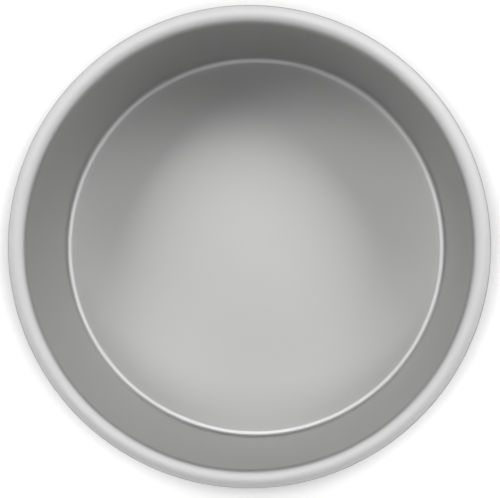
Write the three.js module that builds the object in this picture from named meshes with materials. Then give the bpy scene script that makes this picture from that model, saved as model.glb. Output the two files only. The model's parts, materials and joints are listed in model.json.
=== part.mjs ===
// A deep round cake pan: one aluminium disc drawn into a flat-floored, straight-sided shell, with its
// rim rolled outwards round a core wire. Millimetres, +Z up. The origin is the centre of the underside.

import * as THREE from "three";

// Driving dimensions
const INSIDE_DIAMETER = 152.4; // wall to wall
const INSIDE_DEPTH = 76.2; // floor to the top of the rim
const SHEET_THICKNESS = 1.2; // of the drawn disc, the same all over
const CORNER_RADIUS = 2.5; // inside, where the floor turns up into the wall
const WIRE_DIAMETER = 3.6; // the core of the rim
const WIRE_CLEARANCE = 0.3; // between the wire and the sheet rolled round it
const EDGE_CLEARANCE = 0.3; // between the rolled edge and the wall that it tucks in to
const WIRE_END_GAP = 1; // between the two ends of the wire, which butt

// Fineness of the facets
const TURN_STEPS = 96; // in one turn about the axis
const ARC_STEP = THREE.MathUtils.degToRad(18); // the most that one facet of a sectional arc turns
const WIRE_SIDES = 10;

// The pan's section, as radius and height
const insideRadius = INSIDE_DIAMETER / 2;
const rimHeight = SHEET_THICKNESS + INSIDE_DEPTH;
const rollInside = WIRE_DIAMETER / 2 + WIRE_CLEARANCE;
const rollOutside = rollInside + SHEET_THICKNESS;
const rollCentre = new THREE.Vector2(insideRadius + rollOutside, rimHeight - rollOutside);
const cornerCentre = new THREE.Vector2(insideRadius - CORNER_RADIUS, SHEET_THICKNESS + CORNER_RADIUS);

const satinAnodised = new THREE.MeshStandardMaterial({ color: 0xbcbdbd, roughness: 0.42, metalness: 1 });
const drawnWire = new THREE.MeshStandardMaterial({ color: 0xc8c9ca, roughness: 0.3, metalness: 1 });

// Points on an arc about a centre, from one angle to another, no more than ARC_STEP apart.
function arc(centre, radius, from, to) {
  const steps = Math.ceil(Math.abs(to - from) / ARC_STEP);
  const points = [];
  for (let i = 0; i <= steps; i++) {
    const angle = THREE.MathUtils.lerp(from, to, i / steps);
    points.push(new THREE.Vector2(Math.cos(angle), Math.sin(angle)).multiplyScalar(radius).add(centre));
  }
  return points;
}

// The shell is its section turned about the axis. The section runs out along the underside, up the
// outside of the wall, round inside the roll to its edge, back over the roll, down the inside of the
// wall and in along the floor. The roll starts where it leaves the wall, goes over the top and under,
// and ends where its edge stands EDGE_CLEARANCE from the wall again.
function panShell() {
  const floor = -Math.PI / 2;
  const wall = Math.PI;
  const edge = -Math.acos((EDGE_CLEARANCE - rollInside) / rollOutside);
  const section = [
    new THREE.Vector2(0, 0),
    ...arc(cornerCentre, CORNER_RADIUS + SHEET_THICKNESS, floor, 0),
    ...arc(rollCentre, rollInside, wall, edge),
    ...arc(rollCentre, rollOutside, edge, wall),
    ...arc(cornerCentre, CORNER_RADIUS, 0, floor),
    new THREE.Vector2(0, SHEET_THICKNESS),
  ];
  const mesh = new THREE.Mesh(new THREE.LatheGeometry(section, TURN_STEPS), satinAnodised);
  mesh.name = "pan_shell";
  mesh.rotation.x = Math.PI / 2;
  return mesh;
}

// The wire's centre line: a ring about the axis, open by the gap between its ends.
class WireRing extends THREE.Curve {
  getPoint(t, target = new THREE.Vector3()) {
    const halfGap = WIRE_END_GAP / 2 / rollCentre.x;
    const angle = THREE.MathUtils.lerp(halfGap, 2 * Math.PI - halfGap, t);
    return target.set(Math.cos(angle), Math.sin(angle), 0).multiplyScalar(rollCentre.x);
  }
}

// Round wire bent to a ring that lies in the middle of the roll.
function rimWire() {
  const section = new THREE.Shape().absarc(0, 0, WIRE_DIAMETER / 2, 0, 2 * Math.PI);
  const geometry = new THREE.ExtrudeGeometry(section, {
    steps: TURN_STEPS,
    curveSegments: WIRE_SIDES / 2,
    extrudePath: new WireRing(),
  });
  const mesh = new THREE.Mesh(geometry, drawnWire);
  mesh.name = "rim_wire";
  mesh.position.z = rollCentre.y;
  return mesh;
}

const pan = new THREE.Group();
pan.add(panShell(), rimWire());

export default pan;
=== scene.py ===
# %% [markdown]
# # A deep round cake pan
# The pan is one disc of aluminium, drawn into a flat floor and a straight wall, with its rim rolled
# outwards round a core wire. It is etched and clear anodised all over, so it is a soft grey and not a
# mirror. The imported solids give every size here. This lesson makes the same two pieces again with
# smooth round surfaces, gives them their finish, and lights them as a studio would.

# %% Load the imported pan
import json
import math
import bmesh
import bpy
from mathutils import Matrix, Vector


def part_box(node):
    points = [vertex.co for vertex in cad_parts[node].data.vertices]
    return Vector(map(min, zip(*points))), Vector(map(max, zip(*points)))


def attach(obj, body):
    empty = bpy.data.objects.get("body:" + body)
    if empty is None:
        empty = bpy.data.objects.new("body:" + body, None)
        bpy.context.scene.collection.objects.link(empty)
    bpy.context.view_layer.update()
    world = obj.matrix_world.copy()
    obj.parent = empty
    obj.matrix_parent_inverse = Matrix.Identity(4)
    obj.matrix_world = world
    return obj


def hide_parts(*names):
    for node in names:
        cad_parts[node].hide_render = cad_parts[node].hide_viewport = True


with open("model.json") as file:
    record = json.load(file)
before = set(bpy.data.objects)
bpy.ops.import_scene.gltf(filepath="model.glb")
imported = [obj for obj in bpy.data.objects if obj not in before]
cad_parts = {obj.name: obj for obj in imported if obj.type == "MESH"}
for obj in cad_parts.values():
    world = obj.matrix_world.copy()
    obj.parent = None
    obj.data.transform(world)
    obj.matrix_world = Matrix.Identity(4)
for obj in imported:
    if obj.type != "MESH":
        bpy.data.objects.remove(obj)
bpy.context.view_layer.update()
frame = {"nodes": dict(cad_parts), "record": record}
print("nodes:", sorted(frame["nodes"]))

# %% [markdown]
# ## The pan's sizes
# A drawn pan has few sizes: how wide and deep it is, how thick the sheet is, and its two bends, at the
# corner of the floor and at the rim. They could be typed in again, but then they could drift from the
# solids, so they are measured there. The wire lies in the middle of the roll, so its height gives the
# roll's centre, and the flat of the floor ends where the corner begins.

# %% Measure the solids
MM = 0.001
SAME_HEIGHT = 0.01 * MM  # two heights that differ by less are one
shell_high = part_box("pan_shell")[1]
wire_low, wire_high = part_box("rim_wire")
sheet = next(m["pos_m"][2] for m in frame["record"]["mounts"] if m["name"] == "floor")
rim_height = shell_high.z
roll_height = (wire_low.z + wire_high.z) / 2
roll_radius = rim_height - roll_height
inside_radius = shell_high.x - 2 * roll_radius
ring_radius = inside_radius + roll_radius
shell_points = [v.co for v in frame["nodes"]["pan_shell"].data.vertices]
floor_reach = max(p.xy.length for p in shell_points if abs(p.z - sheet) < SAME_HEIGHT)
corner_radius = inside_radius - floor_reach
print(f"inside {2 * inside_radius / MM:.1f} mm across, rim {rim_height / MM:.1f} mm high")
print(f"sheet {sheet / MM:.2f}, corner {corner_radius / MM:.2f}, roll {roll_radius / MM:.2f} mm")

# %% [markdown]
# ## Colours and nodes
# Colours are written as the sRGB hex values that a colour picker shows, but shaders reckon in linear
# light, so one function turns one into the other. Shaders and shapes below are both drawn as nodes.
# One helper adds a node with its settings, values and links, which keeps each tree short to read.

# %% Two helpers
def colour(hex_value):
    """The linear colour of an sRGB hex value such as #CBCBCB."""
    parts = [int(hex_value[i:i + 2], 16) / 255 for i in (1, 3, 5)]
    linear = [c / 12.92 if c <= 0.04045 else ((c + 0.055) / 1.055) ** 2.4 for c in parts]
    return (*linear, 1)


def add(tree, kind, inputs=None, **settings):
    """Adds a node. An input is named or numbered, and takes a value, a socket or a list of sockets."""
    node = tree.nodes.new(kind)
    for name, value in settings.items():
        setattr(node, name, value)
    for key, value in (inputs or {}).items():
        for source in value if isinstance(value, list) else [value]:
            if isinstance(source, bpy.types.NodeSocket):
                tree.links.new(source, node.inputs[key])
            else:
                node.inputs[key].default_value = source
    return node


print("a mid grey in linear light:", [round(c, 3) for c in colour("#808080")])

# %% [markdown]
# ## Etched, clear anodised aluminium
# Caustic etching eats the drawn sheet to a fine matt grain, and the clear oxide grown on it afterwards
# keeps that grain. So the metal scatters what it mirrors over a wide angle: it has broad soft
# highlights and no sharp reflections, and it doesn't brighten much at a glancing angle, which leaves the
# wall darker than the floor. Three small things break up the evenness: the grain itself, faint lines
# that run round the pan from the tools that it was turned against, and a cloudy change in the matt from
# place to place. A picture of a real surface could give them, but noise drawn in the pan's own
# millimetres stays sharp from any distance. The length along the sheet, out over the floor and then up
# the wall, is the distance from the axis plus the height, near enough, so the lines follow that.
#
# Three places get a finish of their own. The crest of the rim is rougher, and its paler grey is a painted
# highlight, paler still on its outer side as a painted reflection of the white paper. The corner of the
# floor is ironed smoother over the punch, and a pale line at the foot of the bend is a painted highlight
# that brightens the bright ring there: the sheet below carries two attributes that say where. And the
# underside of the roll's overhang is painted darker, a painted shade that draws a thin line along the outer
# edge.

# %% What a finish starts from, and where the rim's painted highlight and painted shade go
def new_material(name):
    """A material, its node tree and its main shader."""
    material = bpy.data.materials.new(name)
    material.use_nodes = True
    return material, material.node_tree, material.node_tree.nodes["Principled BSDF"]


def place_on_pan(tree):
    """Sockets for a point's place, its distance from the axis and its height."""
    place = add(tree, "ShaderNodeTexCoord").outputs["Object"]
    level = add(tree, "ShaderNodeVectorMath", {0: place, 1: (1, 1, 0)}, operation="MULTIPLY")
    radius = add(tree, "ShaderNodeVectorMath", {0: level.outputs["Vector"]}, operation="LENGTH")
    height = add(tree, "ShaderNodeSeparateXYZ", {0: place})
    return place, radius.outputs["Value"], height.outputs["Z"]


CREST = (0.42, 0.85)  # radii of the roll above its centre, where the crest's painted highlight begins and is full
PAINTED_REFLECTION_SPAN = (-0.5, 0.7)  # radii of the roll out from its centre, where the crest's painted highlight is least and most pale, the outer side being a painted reflection of the white paper
OVERHANG = (0.56, 0.44)  # radii of the roll above its centre, where the painted shade under the overhang begins and is full


def rim_masks(tree, radius, height):
    """Masks from 0 to 1 for the crest's painted highlight, for how far out on it that turns to a painted
    reflection, and for the painted shade under the overhang.
    """
    masks = []
    for value, centre, (start, full) in ((height, roll_height, CREST), (radius, ring_radius, PAINTED_REFLECTION_SPAN),
                                         (height, roll_height, OVERHANG)):
        mask = add(tree, "ShaderNodeMapRange", {
            "Value": value, "From Min": centre + start * roll_radius,
            "From Max": centre + full * roll_radius}, interpolation_type="SMOOTHSTEP")
        masks.append(mask.outputs["Result"])
    crest, painted_reflection, low = masks
    # Shade is painted on the outer, lower part of the roll, under its overhang.
    outer = add(tree, "ShaderNodeMath", {0: radius, 1: ring_radius}, operation="GREATER_THAN")
    painted_shade = add(tree, "ShaderNodeMath", {0: low, 1: outer.outputs[0]}, operation="MULTIPLY")
    return crest, painted_reflection, painted_shade.outputs[0]


print("the pale crest is", round((1 - CREST[0]) * roll_radius / MM, 1), "mm high")

# %% The finish of the shell
ETCH_GRAIN = 0.5  # mm, drawn about three times as coarse as the real grain, so that it shows
TURNING_LINE = 0.9  # mm between the faint lines
RELIEF = 0.004  # mm, how high the grain stands
LINE_SHARE = 0.5  # how high the lines stand beside the grain
MATT_CLOUD = 28  # mm across
CLOUD_DEPTH = 0.04  # how much rougher the most matt cloud is than the least
MATT_SHEET = 0.53  # roughness of the etched sheet
MATT_BEND = 0.42  # of the ironed corner
MATT_RING_LINE = 0.68  # of the line at the foot of the bend, whose paler grey is a painted highlight
MATT_CREST = 0.78  # of the crest
SHEET_GREY = ("#CBCBCB", "#CDCDCC")  # in the least and in the most matt cloud
# the grey below is a painted highlight on the line at the foot of the bend, which brightens the ring
RING_HIGHLIGHT_GREY = "#EAEAEA"
CREST_HIGHLIGHT_GREY = ("#E1E1E1", "#E6E6E6")  # the crest's painted highlight, at its inner side and at its outer side, where it is also a painted reflection of the white paper
# the grey below is painted shade under the roll's overhang, which draws a thin dark line along the outer edge
PAINTED_SHADE_GREY = "#989897"
GLANCING_GREY = "#DADADA"  # what the metal mirrors at a glancing angle is dimmed by this
BENT = "bent"  # the attribute that is 1 on the corner's bend and 0 elsewhere
RING_LINE_ATTRIBUTE = "pressed"  # the attribute that is 1 in the middle of the line with the painted highlight and 0 beside it


def etched_anodised_aluminium():
    material, tree, shader = new_material("aluminium, etched and clear anodised")
    shader.inputs["Metallic"].default_value = 1
    shader.inputs["Specular Tint"].default_value = colour(GLANCING_GREY)
    place, radius, height = place_on_pan(tree)
    along = add(tree, "ShaderNodeMath", {0: radius, 1: height}, operation="ADD")
    grain = add(tree, "ShaderNodeTexNoise", {"Vector": place, "Scale": 1 / (ETCH_GRAIN * MM)})
    cloud = add(tree, "ShaderNodeTexNoise", {"Vector": place, "Scale": 1 / (MATT_CLOUD * MM)})
    lines = add(tree, "ShaderNodeTexNoise", {"W": along.outputs[0], "Scale": 1 / (TURNING_LINE * MM)},
                noise_dimensions="1D")
    crest, painted_reflection, painted_shade = rim_masks(tree, radius, height)
    bent = add(tree, "ShaderNodeAttribute", attribute_name=BENT).outputs["Fac"]
    pressed = add(tree, "ShaderNodeAttribute", attribute_name=RING_LINE_ATTRIBUTE).outputs["Fac"]

    # Each place lies over the ones before it. A Mix node takes colours at 6 and 7 and gives them at 2.
    # The crest's paler grey is a painted highlight, paler still outwards as a painted reflection of the white
    # paper.
    crest_highlight = add(tree, "ShaderNodeMix", {0: painted_reflection, 6: colour(CREST_HIGHLIGHT_GREY[0]),
                                             7: colour(CREST_HIGHLIGHT_GREY[1])}, data_type="RGBA")
    grey = colour(SHEET_GREY[0])
    # The last grey in this list is painted shade under the roll, and the two before it are painted
    # highlights.
    for share, over in ((cloud.outputs["Fac"], colour(SHEET_GREY[1])), (pressed, colour(RING_HIGHLIGHT_GREY)),
                        (crest, crest_highlight.outputs[2]), (painted_shade, colour(PAINTED_SHADE_GREY))):
        grey = add(tree, "ShaderNodeMix", {0: share, 6: grey, 7: over}, data_type="RGBA").outputs[2]
    # It takes single values at 2 and 3 and gives them at 0.
    matt = add(tree, "ShaderNodeMath", {0: cloud.outputs["Fac"], 1: CLOUD_DEPTH, 2: MATT_SHEET},
               operation="MULTIPLY_ADD").outputs[0]
    for share, over in ((bent, MATT_BEND), (pressed, MATT_RING_LINE), (crest, MATT_CREST)):
        matt = add(tree, "ShaderNodeMix", {0: share, 2: matt, 3: over}).outputs[0]

    relief = add(tree, "ShaderNodeMath", {0: lines.outputs["Fac"], 1: LINE_SHARE, 2: grain.outputs["Fac"]},
                 operation="MULTIPLY_ADD")
    bump = add(tree, "ShaderNodeBump", {"Height": relief.outputs[0], "Distance": RELIEF * MM,
                                        "Strength": 1})
    tree.links.new(grey, shader.inputs["Base Color"])
    tree.links.new(matt, shader.inputs["Roughness"])
    tree.links.new(bump.outputs["Normal"], shader.inputs["Normal"])
    return material


anodised = etched_anodised_aluminium()
print(anodised.name, len(anodised.node_tree.nodes), "nodes")

# %% [markdown]
# ## Drawn aluminium wire
# The core wire was pulled through a die, which leaves it brighter than the etched sheet, with fine
# scores along its length. The roll hides nearly all of it. Its scores run round the pan, so they are
# noise that changes quickly across the wire, with height, and with the distance from the axis.

# %% The finish of the wire
DIE_SCORE = 0.15  # mm between the scores
POLISH = (0.24, 0.38)  # roughness between the scores and in them
WIRE_GREY = ("#C4C5C6", "#D6D7D8")  # between the scores and in them


def drawn_aluminium_wire():
    material, tree, shader = new_material("aluminium wire, drawn")
    shader.inputs["Metallic"].default_value = 1
    radius, height = place_on_pan(tree)[1:]
    across = add(tree, "ShaderNodeCombineXYZ", {"X": radius, "Y": height})
    scores = add(tree, "ShaderNodeTexNoise", {"Vector": across.outputs[0], "Scale": 1 / (DIE_SCORE * MM)},
                 noise_dimensions="2D")
    grey = add(tree, "ShaderNodeMix", {0: scores.outputs["Fac"], 6: colour(WIRE_GREY[0]),
                                       7: colour(WIRE_GREY[1])}, data_type="RGBA")
    polish = add(tree, "ShaderNodeMapRange", {"Value": scores.outputs["Fac"], "To Min": POLISH[0],
                                              "To Max": POLISH[1]})
    tree.links.new(grey.outputs[2], shader.inputs["Base Color"])
    tree.links.new(polish.outputs["Result"], shader.inputs["Roughness"])
    return material


drawn_wire = drawn_aluminium_wire()
print(drawn_wire.name, len(drawn_wire.node_tree.nodes), "nodes")

# %% [markdown]
# ## The drawn and rolled sheet
# On the bench the pan starts as a flat disc. A punch draws it into a cup with a small radius at the
# corner, and a roller then turns the rim out and round the wire. Every step keeps it a body of
# revolution. It could be spun from a hand-placed outline, but its section is two straight runs and two
# arcs, which is a rule, so Geometry Nodes draw those four strokes from the pan's sizes and sweep each
# one round the axis. The strokes are the inside face of the sheet, which the roll turns to the outside.
# The runs are cut into many short steps, so that the smooth shading of the bends ends at the bends.

# %% How a tree of shapes begins and ends, and the line where the ring's highlight is painted
def new_shape_tree(name, sizes):
    """A tree that takes named sizes and a finish and gives a shape, and its inputs."""
    tree = bpy.data.node_groups.new(name, "GeometryNodeTree")
    for size in sizes:
        tree.interface.new_socket(size, in_out="INPUT", socket_type="NodeSocketFloat")
    tree.interface.new_socket("Finish", in_out="INPUT", socket_type="NodeSocketMaterial")
    tree.interface.new_socket("Geometry", in_out="OUTPUT", socket_type="NodeSocketGeometry")
    return tree, add(tree, "NodeGroupInput").outputs


def give_shape(tree, shape, finish):
    """Ends a tree with its shape as one real mesh in its finish."""
    real = add(tree, "GeometryNodeRealizeInstances", {"Geometry": shape})
    coated = add(tree, "GeometryNodeSetMaterial", {"Geometry": real.outputs[0], "Material": finish})
    add(tree, "NodeGroupOutput", {0: coated.outputs[0]})


RING_LINE_PLACE = 0.27  # share of the way up the bend to the middle of the line
RING_LINE_REACH = 0.32  # share of the bend over which the line fades out to each side


def ring_line_field(tree):
    """A field along the corner's stroke, 1 in the middle of the painted highlight's line and 0 beside it."""
    up_the_bend = add(tree, "GeometryNodeSplineParameter").outputs["Factor"]
    past = add(tree, "ShaderNodeMath", {0: up_the_bend, 1: RING_LINE_PLACE}, operation="SUBTRACT")
    away = add(tree, "ShaderNodeMath", {0: past.outputs[0]}, operation="ABSOLUTE")
    line = add(tree, "ShaderNodeMapRange", {"Value": away.outputs[0], "From Min": RING_LINE_REACH,
                                            "From Max": 0}, interpolation_type="SMOOTHSTEP")
    return line.outputs["Result"]


print("the line's middle is tilted", round(90 * RING_LINE_PLACE), "degrees from the floor")

# %% The tree that draws the section and sweeps it
ROUND_STEPS = 192  # round the axis
FLOOR_STEPS = 40
WALL_STEPS = 40
CORNER_STEPS = 20
ROLL_STEPS = 54
WELD = 0.001 * MM  # points closer than this become one, at the ends of the strokes and at the axis
QUARTER = math.pi / 2


def sheet_tree():
    tree, size = new_shape_tree("Drawn and rolled sheet", (
        "Inside Radius", "Rim Height", "Sheet", "Corner Radius", "Roll Radius", "Roll Turn"))
    wall = size["Inside Radius"]
    floor = size["Sheet"]
    corner = size["Corner Radius"]
    roll = size["Roll Radius"]
    reach = add(tree, "ShaderNodeMath", {0: wall, 1: corner}, operation="SUBTRACT").outputs[0]
    foot = add(tree, "ShaderNodeMath", {0: floor, 1: corner}, operation="ADD").outputs[0]
    top = add(tree, "ShaderNodeMath", {0: size["Rim Height"], 1: roll}, operation="SUBTRACT").outputs[0]
    over = add(tree, "ShaderNodeMath", {0: wall, 1: roll}, operation="ADD").outputs[0]
    ends = {"axis": (0, floor), "floor edge": (reach, floor), "corner centre": (reach, foot),
            "wall foot": (wall, foot), "wall top": (wall, top), "roll centre": (over, top)}
    at = {}
    for name, (x, y) in ends.items():
        at[name] = add(tree, "ShaderNodeCombineXYZ", {"X": x, "Y": y}).outputs[0]
    strokes = []
    for start, end, steps in (("axis", "floor edge", FLOOR_STEPS), ("wall foot", "wall top", WALL_STEPS)):
        run = add(tree, "GeometryNodeCurvePrimitiveLine", {"Start": at[start], "End": at[end]})
        cut = add(tree, "GeometryNodeResampleCurve", {"Curve": run.outputs[0], "Count": steps + 1})
        strokes.append((cut.outputs[0], 0, 0))
    for centre, radius, start, turn, steps, bent, pressed in (
            ("corner centre", corner, -QUARTER, QUARTER, CORNER_STEPS, 1, ring_line_field(tree)),
            ("roll centre", roll, math.pi, size["Roll Turn"], ROLL_STEPS, 0, 0)):
        bend = add(tree, "GeometryNodeCurveArc", {"Resolution": steps + 1, "Radius": radius,
                                                  "Start Angle": start, "Sweep Angle": turn})
        placed = add(tree, "GeometryNodeTransform", {"Geometry": bend.outputs[0],
                                                     "Translation": at[centre]})
        strokes.append((placed.outputs[0], bent, pressed))
    marked = []
    for stroke, bent, pressed in strokes:
        for name, value in ((BENT, bent), (RING_LINE_ATTRIBUTE, pressed)):
            stroke = add(tree, "GeometryNodeStoreNamedAttribute", {"Geometry": stroke, "Name": name,
                                                                   "Value": value}).outputs[0]
        marked.append(stroke)
    section = add(tree, "GeometryNodeJoinGeometry", {0: marked})
    # A swept profile counts its radius from the path and its height downwards.
    inward = add(tree, "ShaderNodeVectorMath", {0: at["wall foot"], 1: (-1, 0, 0)}, operation="MULTIPLY")
    profile = add(tree, "GeometryNodeTransform", {"Geometry": section.outputs[0], "Scale": (1, -1, 1),
                                                  "Translation": inward.outputs[0]})
    path = add(tree, "GeometryNodeCurvePrimitiveCircle", {"Resolution": ROUND_STEPS, "Radius": wall})
    swept = add(tree, "GeometryNodeCurveToMesh", {"Curve": path.outputs[0],
                                                  "Profile Curve": profile.outputs[0]})
    closed = add(tree, "GeometryNodeMergeByDistance", {"Geometry": swept.outputs[0], "Distance": WELD})
    smooth = add(tree, "GeometryNodeSetShadeSmooth", {"Geometry": closed.outputs[0]})
    give_shape(tree, smooth.outputs[0], size["Finish"])
    return tree


section_tree = sheet_tree()
print(section_tree.name, len(section_tree.nodes), "nodes")

# %% [markdown]
# ## From a tree to a plain mesh
# A modifier runs the tree on an empty mesh, with each input set by its socket's identifier. Reading the
# evaluated object back as a mesh, and taking the modifier off, leaves a plain piece at the origin.

# %% Run the tree for the inside face of the sheet
def plain_mesh(piece):
    """Turns what a piece's modifiers make into its own mesh."""
    graph = bpy.context.evaluated_depsgraph_get()
    made = bpy.data.meshes.new_from_object(piece.evaluated_get(graph))
    piece.modifiers.clear()
    piece.data = made


def run_tree(name, tree, values):
    piece = bpy.data.objects.new(name, bpy.data.meshes.new(name))
    bpy.context.scene.collection.objects.link(piece)
    modifier = piece.modifiers.new(tree.name, "NODES")
    modifier.node_group = tree
    for socket in tree.interface.items_tree:
        if socket.in_out == "INPUT":
            modifier[socket.identifier] = values[socket.name]
    plain_mesh(piece)
    return piece


EDGE_CLEARANCE = 0.3 * MM  # between the rolled edge and the wall that it tucks in to
roll_inside = roll_radius - sheet
roll_turn = math.pi + math.acos((EDGE_CLEARANCE - roll_inside) / roll_radius)
shell = run_tree("cake_pan_shell", section_tree, {
    "Inside Radius": inside_radius, "Rim Height": rim_height, "Sheet": sheet,
    "Corner Radius": corner_radius, "Roll Radius": roll_radius, "Roll Turn": -roll_turn,
    "Finish": anodised})
print("inside face:", len(shell.data.polygons), "faces")
print("the roll turns", round(math.degrees(roll_turn)), "degrees")

# %% [markdown]
# ## The sheet gets its thickness
# The sweep can leave a surface inside out, so the normals are set first, with the floor facing up.
# Solidify then adds the sheet's thickness behind that face, the same all over, as a drawn sheet has it,
# and Bevel breaks the sharp corners of the cut edge inside the roll.

# %% Face it inwards and thicken it
EDGE_BREAK = 0.2 * MM
EDGE_SEGMENTS = 2
SHARP = math.radians(60)  # an edge that turns more than this is a corner of the cut
skin = bmesh.new()
skin.from_mesh(shell.data)
bmesh.ops.recalc_face_normals(skin, faces=skin.faces)
middle = min(skin.faces, key=lambda face: face.calc_center_median().xy.length)
if middle.normal.z < 0:
    bmesh.ops.reverse_faces(skin, faces=skin.faces)
skin.to_mesh(shell.data)
skin.free()
thickness = shell.modifiers.new("sheet", "SOLIDIFY")
thickness.thickness = sheet
thickness.offset = -1
thickness.use_even_offset = True
edge = shell.modifiers.new("cut edge", "BEVEL")
edge.width = EDGE_BREAK
edge.segments = EDGE_SEGMENTS
edge.limit_method = "ANGLE"
edge.angle_limit = SHARP
plain_mesh(shell)
print("shell:", len(shell.data.polygons), "faces", [round(d / MM, 2) for d in shell.dimensions], "mm")

# %% [markdown]
# ## The core wire
# A length of round wire, bent to a ring, whose two ends butt with a small gap. It fills the roll, so
# it is a circle swept along an arc that stops short of a full turn, with both ends capped.

# %% The wire
WIRE_SIDES = 20
wire_points = [v.co for v in frame["nodes"]["rim_wire"].data.vertices]
wire_gap = 2 * min(p.y for p in wire_points if p.x > 0 and p.y > 0)
wire_radius = (wire_high.z - wire_low.z) / 2


def wire_tree():
    tree, size = new_shape_tree("Wire ring", (
        "Ring Radius", "Height", "Wire Radius", "Half Gap Angle", "Turn"))
    path = add(tree, "GeometryNodeCurveArc", {
        "Resolution": ROUND_STEPS + 1, "Radius": size["Ring Radius"],
        "Start Angle": size["Half Gap Angle"], "Sweep Angle": size["Turn"]})
    lift = add(tree, "ShaderNodeCombineXYZ", {"Z": size["Height"]})
    raised = add(tree, "GeometryNodeTransform", {"Geometry": path.outputs[0],
                                                 "Translation": lift.outputs[0]})
    circle = add(tree, "GeometryNodeCurvePrimitiveCircle", {"Resolution": WIRE_SIDES,
                                                            "Radius": size["Wire Radius"]})
    swept = add(tree, "GeometryNodeCurveToMesh", {"Curve": raised.outputs[0], "Fill Caps": True,
                                                  "Profile Curve": circle.outputs[0]})
    give_shape(tree, swept.outputs[0], size["Finish"])
    return tree


half_gap = math.asin(wire_gap / 2 / ring_radius)
wire = run_tree("cake_pan_rim_wire", wire_tree(), {
    "Ring Radius": ring_radius, "Height": roll_height, "Wire Radius": wire_radius,
    "Half Gap Angle": half_gap, "Turn": 2 * math.pi - 2 * half_gap, "Finish": drawn_wire})
ring = bmesh.new()
ring.from_mesh(wire.data)
bmesh.ops.remove_doubles(ring, verts=ring.verts, dist=WELD)
bmesh.ops.recalc_face_normals(ring, faces=ring.faces)
ring.to_mesh(wire.data)
ring.free()
wire.data.shade_smooth()
print(f"wire: {2 * wire_radius / MM:.2f} mm thick, its ends {wire_gap / MM:.2f} mm apart")

# %% [markdown]
# ## Put the pieces on the body
# The pan has no moving parts, so both pieces ride on the one body. Each stands for its imported solid,
# which is hidden.

# %% Ride and replace
for piece, node, slot in ((shell, "pan_shell", "anodised_aluminium"), (wire, "rim_wire", "aluminium_wire")):
    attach(piece, "root")
    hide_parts(node)
    print(piece.name, "stands for", node)

# %% [markdown]
# ## The ground
# The pan stands on a sheet of white paper, far wider than the pan, so that its end stays out of sight.
# In a studio such paper gets lamps of its own until it is plain white in the picture. More lamps here
# would also change the pan, so the paper glows a little instead, but only for rays that come from the
# camera, from a mirroring surface or through glass. Close to the pan the glow fades out all round it, a
# painted shadow standing in for paper lamps that can't reach in under the rim, which leaves a soft grey
# edge there and gives the roll something darker to mirror. The rest of the paper's brightness is the
# light of the lamps below, and that is where the pan's own shadow stays. The paper lies a hair below the
# pan, so that the two surfaces don't fight over one height.

# %% The paper
GROUND_WIDTH = 6  # m
GROUND_DROP = 0.05 * MM
PAPER_WHITE = "#F3F3F3"
PAPER_MATT = 0.9  # roughness
PAPER_SHEEN = 0.1  # paper mirrors much less than the shader's usual 0.5
GROUND_GLOW = 0.5  # 1 would be white without any lamp
GLOW_STARTS = 11.5 * MM  # outside the rim
GLOW_FULL = 23.5 * MM
GLOW_SHIFT = Vector((-2.3, 2.9, 0)) * MM  # the painted shadow's middle, off the axis as if its lamps stood a little to the right and in front of the pan


def white_paper():
    material, tree, shader = new_material("paper, matt white")
    shader.inputs["Base Color"].default_value = colour(PAPER_WHITE)
    shader.inputs["Roughness"].default_value = PAPER_MATT
    shader.inputs["Specular IOR Level"].default_value = PAPER_SHEEN
    shader.inputs["Emission Color"].default_value = colour("#FFFFFF")
    ray = add(tree, "ShaderNodeLightPath").outputs
    mirrored = add(tree, "ShaderNodeMath", {0: ray["Is Camera Ray"], 1: ray["Is Glossy Ray"]},
                   operation="MAXIMUM")
    seen = add(tree, "ShaderNodeMath", {0: mirrored.outputs[0], 1: ray["Is Transmission Ray"]},
               operation="MAXIMUM")
    place = add(tree, "ShaderNodeTexCoord").outputs["Object"]
    away = add(tree, "ShaderNodeVectorMath", {0: place, 1: GLOW_SHIFT}, operation="DISTANCE")
    # the glow fades out near the pan: a painted shadow round the rim
    clear = add(tree, "ShaderNodeMapRange", {
        "Value": away.outputs["Value"], "From Min": shell_high.x + GLOW_STARTS,
        "From Max": shell_high.x + GLOW_FULL, "To Max": GROUND_GLOW}, interpolation_type="SMOOTHSTEP")
    glow = add(tree, "ShaderNodeMath", {0: seen.outputs[0], 1: clear.outputs["Result"]}, operation="MULTIPLY")
    tree.links.new(glow.outputs[0], shader.inputs["Emission Strength"])
    return material


half = GROUND_WIDTH / 2
corners = [(x, y, -GROUND_DROP) for x, y in ((-half, -half), (half, -half), (half, half), (-half, half))]
ground_mesh = bpy.data.meshes.new("ground")
ground_mesh.from_pydata(corners, [], [(0, 1, 2, 3)])
ground_mesh.materials.append(white_paper())
ground = bpy.data.objects.new("ground", ground_mesh)
bpy.context.scene.collection.objects.link(ground)
print("ground:", GROUND_WIDTH, "m wide")

# %% [markdown]
# ## Studio light
# Metal shows its surroundings, so it is lit with large soft lamps, and each part of the pan tells where
# they stand. Two softboxes hang behind the pan, left and right. Their light comes over the back wall,
# whose shadow keeps the far side of the floor dark, and where their two beams meet they draw a fan on
# the floor. Three pale panels, two in front and one low behind, light the wall and give the rim
# something to mirror. A small lamp beside the lens lifts the middle of the floor. One picture of a real
# studio could do all that at once, but lamps with names can be moved one at a time, and their watts are
# kept so low that white paper in their light is just white. A lamp's place is two angles about the pan:
# the azimuth from +X, which is the right of the picture, and the zenith angle from straight up.

# %% Softboxes
LAMP_DISTANCE = 1.2  # m from the pan


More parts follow.
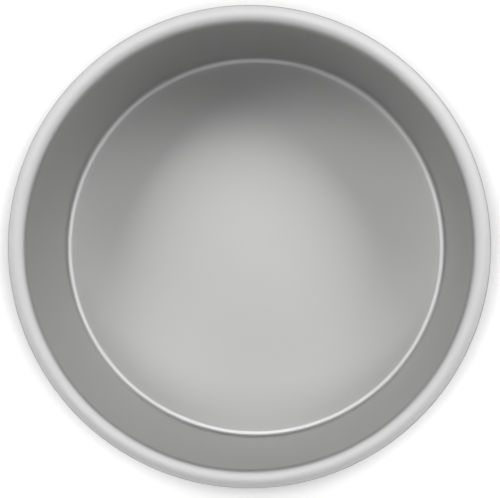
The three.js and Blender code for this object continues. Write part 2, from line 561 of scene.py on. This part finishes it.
def softbox(name, azimuth, zenith, width, depth, watts):
    """A lamp that faces the pan, with its angles in degrees and its sides in metres."""
    lamp = bpy.data.lights.new(name, "AREA")
    lamp.shape = "RECTANGLE"
    lamp.size = width
    lamp.size_y = depth
    lamp.energy = watts
    holder = bpy.data.objects.new(name, lamp)
    bpy.context.scene.collection.objects.link(holder)
    round_pan = math.radians(azimuth)
    from_top = math.radians(zenith)
    outwards = Vector((math.sin(from_top) * math.cos(round_pan), math.sin(from_top) * math.sin(round_pan),
                       math.cos(from_top)))
    place = Vector((0, 0, rim_height / 2)) + outwards * LAMP_DISTANCE
    holder.matrix_world = Matrix.Translation(place) @ outwards.to_track_quat("Z", "Y").to_matrix().to_4x4()
    return holder


lamps = [
    softbox("back right softbox", 40, 36, 0.58, 0.45, 6.9),
    softbox("back left softbox", 142, 36, 0.52, 0.68, 7.2),
    softbox("lamp beside the lens", 268, 14, 0.18, 0.25, 0.9),
    softbox("front left panel", 225, 48, 0.9, 0.3, 1.3),
    softbox("front right panel", 315, 48, 0.9, 0.3, 1.5),
    softbox("low panel behind", 40, 62, 0.9, 0.3, 1.5),
]
print(len(lamps), "lamps,", round(sum(lamp.data.energy for lamp in lamps), 1), "W together")

# %% [markdown]
# ## The room
# Past the lamps there is a room. Its ceiling is dark, as a studio's is, so the floor of the pan stays
# clear of it, and its pale walls show as a low band that the outside of the rim mirrors. The world's
# own direction gives the height: its Z is the sine of the angle above the horizon.

# %% The room's walls
ROOM_LIGHT = 1
ROOM_BAND = (0.05, 0.25)  # the sine of the angle where the walls start to darken and where they end
world = bpy.data.worlds.new("studio room")
world.use_nodes = True
bpy.context.scene.world = world
room = world.node_tree
towards = add(room, "ShaderNodeTexCoord").outputs["Generated"]
upwards = add(room, "ShaderNodeSeparateXYZ", {0: towards}).outputs["Z"]
walls = add(room, "ShaderNodeMapRange", {"Value": upwards, "From Min": ROOM_BAND[0],
                                         "From Max": ROOM_BAND[1], "To Min": 1, "To Max": 0})
room.links.new(walls.outputs["Result"], room.nodes["Background"].inputs["Color"])
room.nodes["Background"].inputs["Strength"].default_value = ROOM_LIGHT
print("room light", ROOM_LIGHT, "up to", round(math.degrees(math.asin(ROOM_BAND[1]))), "degrees")

# %% [markdown]
# ## Camera
# The camera hangs above the pan and looks down into it. The circles of the rim and the floor in the
# picture give its place: the nearer the camera is, the smaller the floor looks inside the rim, and the
# way that the floor sits off the middle of the rim says how far to one side it hangs. It is half a metre
# above the table, 17 mm to the right of the axis, and turned back towards the pan by two degrees. The
# lens is a short telephoto lens, which fills the picture with the pan from there.

# %% Place the camera
LENS = 89.7  # mm, for a frame 36 mm wide
FRAME_WIDTH = 36  # mm
CAMERA_PLACE = Vector((16.6, -0.8, 500.9)) * MM
CAMERA_TURN = math.radians(2.13)
lens = bpy.data.cameras.new("camera")
lens.sensor_fit = "HORIZONTAL"
lens.sensor_width = FRAME_WIDTH
lens.lens = LENS
camera = bpy.data.objects.new("camera", lens)
bpy.context.scene.collection.objects.link(camera)
camera.matrix_world = Matrix.Translation(CAMERA_PLACE) @ Matrix.Rotation(CAMERA_TURN, 4, "Y")
bpy.context.scene.camera = camera
bpy.context.scene.view_settings.view_transform = "Standard"
print("camera", [round(c / MM, 1) for c in CAMERA_PLACE], "mm, lens", LENS, "mm")
